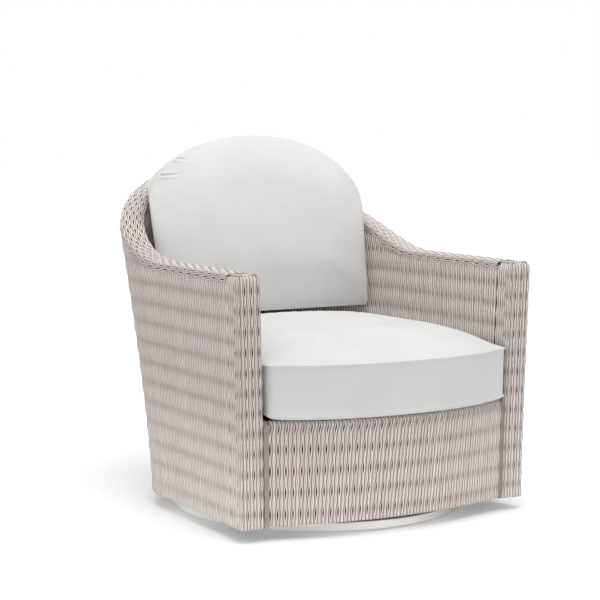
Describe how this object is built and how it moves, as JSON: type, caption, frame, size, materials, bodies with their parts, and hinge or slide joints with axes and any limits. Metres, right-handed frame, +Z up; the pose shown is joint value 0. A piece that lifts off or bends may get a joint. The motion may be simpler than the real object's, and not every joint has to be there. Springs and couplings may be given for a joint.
{
  "type": "swivel rocker",
  "caption": "Outdoor woven barrel armchair with loose seat and back cushions that swivels and rocks on a low round base.",
  "frame": {"origin": "on the floor under the middle of the chair's box; the swivel axis is the vertical line at y = -0.0725", "axes": "+Z up, the chair faces -Y with its back rail at +Y, and +X is towards its left arm as the sitter sees it"},
  "size_m": [0.838, 1.033, 0.9471],
  "materials": {
    "cream_metal": "satin",
    "dark_metal": "satin",
    "frame_metal": "satin",
    "bright_metal": "brushed",
    "spring_steel": "satin",
    "nylon": "matte",
    "rubber": "matte",
    "webbing": "woven",
    "weave": "woven",
    "strip": "matte",
    "cloth": "fine weave"
  },
  "bodies": {
    "base": {"base_ring": "cream_metal", "cross_tube": "cream_metal", "front_spoke": "cream_metal", "rear_spoke": "cream_metal", "hub_plate": "dark_metal", "hub_bolts": "bright_metal", "floor_glides": "nylon", "lower_race": "bright_metal", "king_pin": "bright_metal", "king_nut": "bright_metal"},
    "ball_cage": {"bearing_cage": "nylon", "bearing_balls": "bright_metal"},
    "swivel": {"upper_race": "bright_metal", "swivel_plate": "dark_metal", "swivel_bush": "nylon", "left_bracket": "dark_metal", "right_bracket": "dark_metal", "pivot_bushes": "nylon", "lower_cups": "frame_metal", "bump_stops": "rubber", "bracket_bolts": "bright_metal"},
    "rocker": {"front_springs": "spring_steel", "rear_springs": "spring_steel", "pivot_shaft": "bright_metal", "shaft_collars": "frame_metal", "rocker_plate": "dark_metal", "rocker_ears": "dark_metal", "upper_cups": "frame_metal", "front_rail": "frame_metal", "rear_rail": "frame_metal", "rail_bolts": "bright_metal", "left_post_tube": "frame_metal", "right_post_tube": "frame_metal", "uprights": "frame_metal", "bottom_hoop": "frame_metal", "rail_tube": "frame_metal", "front_hoop": "frame_metal", "left_seat_bar": "frame_metal", "right_seat_bar": "frame_metal", "front_seat_bar": "frame_metal", "rear_seat_bar": "frame_metal", "straps_across": "webbing", "straps_along": "webbing", "outer_weave": "weave", "inner_weave": "weave", "left_arm_post": "weave", "right_arm_post": "weave", "top_rail": "weave", "front_skirt": "weave", "left_edge_strip": "strip", "right_edge_strip": "strip", "seat_cushion": "cloth", "back_cushion": "cloth"}
  },
  "joints": [
    {"name": "swivel_turn", "type": "hinge", "parent": "base", "child": "swivel", "pos_m": [0, -0.0725, 0.043], "axis": [0, 0, 1], "continuous": true},
    {"name": "cage_turn", "type": "hinge", "parent": "base", "child": "ball_cage", "pos_m": [0, -0.0725, 0.035], "axis": [0, 0, 1], "continuous": true},
    {"name": "rock", "type": "hinge", "parent": "swivel", "child": "rocker", "pos_m": [0, -0.0725, 0.15], "axis": [1, 0, 0], "range_deg": [-4, 4], "stiffness_Nm_per_rad": 600, "springref_deg": 2.26, "deforming": ["front_springs", "rear_springs"]}
  ],
  "couplings": [
    {"joint": "cage_turn", "follows": "swivel_turn", "ratio": 0.5}
  ]
}
